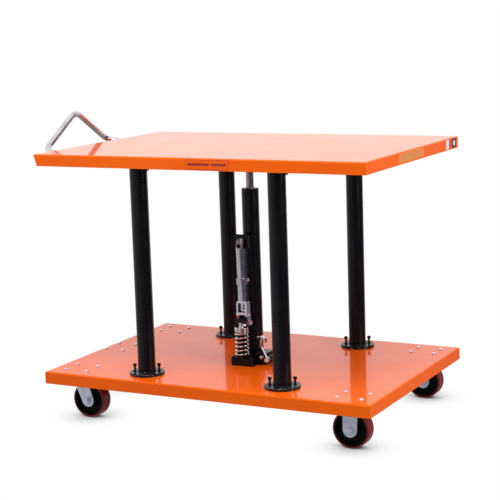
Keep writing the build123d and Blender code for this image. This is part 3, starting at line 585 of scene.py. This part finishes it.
def end_labels():
    """Hatched strip in the middle of the right lip and a small three-part label at its rear."""
    across, up = Vector((0, 1, 0)), Vector((0, 0, 1))
    origin = Vector((RIGHT_X, -142 * MM, LIP_LOW + 5 * MM))
    wide, tall = 220 * MM, 30 * MM
    patch("hatch_field", "yellow", origin, across, up, [rectangle(0, wide, 0, tall, 1 * MM)])
    stripes = []
    edge, wide_stripe, lean, step = 2 * MM, 6 * MM, 12 * MM, 16 * MM
    for i in range(12):
        u = 8 * MM + i * step
        stripes.append([(u, edge), (u + wide_stripe, edge), (u + wide_stripe + lean, tall - edge),
                        (u + lean, tall - edge)])
    patch("hatch_stripes", "tan", origin + Vector((FILM, 0, 0)), across, up, stripes)
    origin = Vector((RIGHT_X, 293 * MM, LIP_LOW + 4 * MM))
    patch("rear_label_white", "white", origin, across, up, [rectangle(0, 26 * MM, 0, 32 * MM, 1 * MM)])
    patch("rear_label_red", "red", origin, across, up, [rectangle(27 * MM, 56 * MM, 4 * MM, 32 * MM, 1 * MM)])
    patch("rear_label_black", "black", origin, across, up, [rectangle(57 * MM, 99 * MM, 0, 32 * MM, 1 * MM)])
    disc = []
    for i in range(24):
        turn = TAU * i / 24
        disc.append((78 * MM + 10 * MM * math.cos(turn), 16 * MM + 10 * MM * math.sin(turn)))
    patch("rear_label_disc", "white", origin + Vector((FILM, 0, 0)), across, up, [disc])


front_label()
end_labels()


# ---- studio ----
FLAG_LEFT = math.radians(-66.0)
FLAG_RIGHT = math.radians(125.0)
FLAG_RADIUS = 3.6
FLAG_HEIGHT = 3.6
FLAG_SHADES = [(0.19, (0.72, 0.69, 0.77)), (0.45, (0.50, 0.48, 0.54)), (0.60, (0.24, 0.225, 0.27)),
               (0.95, (0.10, 0.09, 0.115))]
FLAG_STEPS = 40
FLAG_FOOT = -1.0
FLOOR_HALF = 12.0
FLOOR_LEVEL = -0.0005
SHADOW_REACH = 0.124
GROUND_SHADE = 0.30
DIFFUSE_FILL = 0.75


def make_world():
    """Even white backdrop that darkens below the horizon, and a softer fill for matt surfaces."""
    world = bpy.data.worlds.new("studio")
    bpy.context.scene.world = world
    world.use_nodes = True
    tree = Tree(world.node_tree)
    background = world.node_tree.nodes["Background"]
    height = tree.add("ShaderNodeSeparateXYZ")
    tree.link(tree.add("ShaderNodeTexCoord").outputs["Generated"], height.inputs["Vector"])
    shade = tree.spread(height.outputs["Z"], GROUND_SHADE, 1.0, -0.30, -0.14)
    tree.link(shade, background.inputs["Color"])
    rays = tree.add("ShaderNodeLightPath")
    fill = tree.spread(rays.outputs["Is Diffuse Ray"], 1.0, DIFFUSE_FILL, 0.0, 1.0)
    tree.link(fill, background.inputs["Strength"])


def studio_sheet(name, rows, material):
    """Stage sheet from rows of points that share a column count."""
    bm = bmesh.new()
    grid = [[bm.verts.new(point) for point in row] for row in rows]
    for low, high in zip(grid, grid[1:]):
        for k in range(len(low) - 1):
            bm.faces.new((low[k], low[k + 1], high[k + 1], high[k]))
    mesh = bpy.data.meshes.new(name)
    bm.to_mesh(mesh)
    bm.free()
    sheet = bpy.data.objects.new(name, mesh)
    bpy.context.scene.collection.objects.link(sheet)
    mesh.materials.append(material)
    return sheet


def glow(name, strength):
    """Matt black base that only emits; returns the tree and shader to colour it."""
    return new_material(name, Roughness=1.0, Specular_IOR_Level=0.0, Emission_Strength=strength,
                        Base_Color=(0.0, 0.0, 0.0, 1.0))


def make_floor():
    """White glowing floor with a painted contact shadow: ambient occlusion darkens its glow close to what
    stands on it.
    """
    half, level = FLOOR_HALF, FLOOR_LEVEL
    material, tree, shader = glow("studio_floor", 1.0)
    # painted contact shadow: within SHADOW_REACH the floor's glow turns dark grey where ambient occlusion
    # finds something close above
    near = tree.add("ShaderNodeAmbientOcclusion", samples=24)
    near.inputs["Distance"].default_value = SHADOW_REACH
    shade = tree.ramp(near.outputs["AO"], [(0.1, (0.05, 0.048, 0.05)), (0.97, (1.0, 1.0, 1.0))])
    tree.link(shade, shader.inputs["Emission Color"])
    rows = [[(-half, y, level), (half, y, level)] for y in (-half, half)]
    floor = studio_sheet("studio_floor", rows, material)
    floor.visible_glossy = False
    floor.visible_diffuse = False


def make_flag():
    """Dim curved card on the near side, seen only in reflections, that shades black paint and chrome."""
    material, tree, shader = glow("studio_flag", 1.0)
    spot = tree.add("ShaderNodeSeparateXYZ")
    tree.link(tree.add("ShaderNodeTexCoord").outputs["Object"], spot.inputs["Vector"])
    fade = tree.spread(spot.outputs["X"], 0.0, 1.0, -FLAG_RADIUS, FLAG_RADIUS)
    shade = tree.ramp(fade, FLAG_SHADES)
    tree.link(shade, shader.inputs["Emission Color"])
    rows = []
    for level in (FLAG_FOOT, FLAG_HEIGHT):
        row = []
        for i in range(FLAG_STEPS + 1):
            turn = CAMERA_AZIMUTH - math.pi / 2 + FLAG_LEFT + (FLAG_RIGHT - FLAG_LEFT) * i / FLAG_STEPS
            row.append((FLAG_RADIUS * math.cos(turn), FLAG_RADIUS * math.sin(turn), level))
        rows.append(row)
    flag = studio_sheet("studio_flag", rows, material)
    flag.visible_camera = False
    flag.visible_diffuse = False
    flag.visible_shadow = False
    flag.visible_transmission = False


def area_light(name, place, target, size, power):
    """Rectangular softbox aimed at a point."""
    data = bpy.data.lights.new(name, "AREA")
    data.energy = power
    data.shape = "RECTANGLE"
    data.size, data.size_y = size
    light = bpy.data.objects.new(name, data)
    bpy.context.scene.collection.objects.link(light)
    light.location = place
    light.rotation_euler = (Vector(target) - Vector(place)).to_track_quat("-Z", "Y").to_euler()


make_world()
make_floor()
make_flag()
area_light("key_softbox", (0.25, -1.0, 2.6), (0.05, -0.35, 0.3), (2.4, 0.8), 38.0)
area_light("side_softbox", (2.8, -0.3, 1.3), (0.6, 0.0, 0.5), (1.2, 1.2), 24.0)
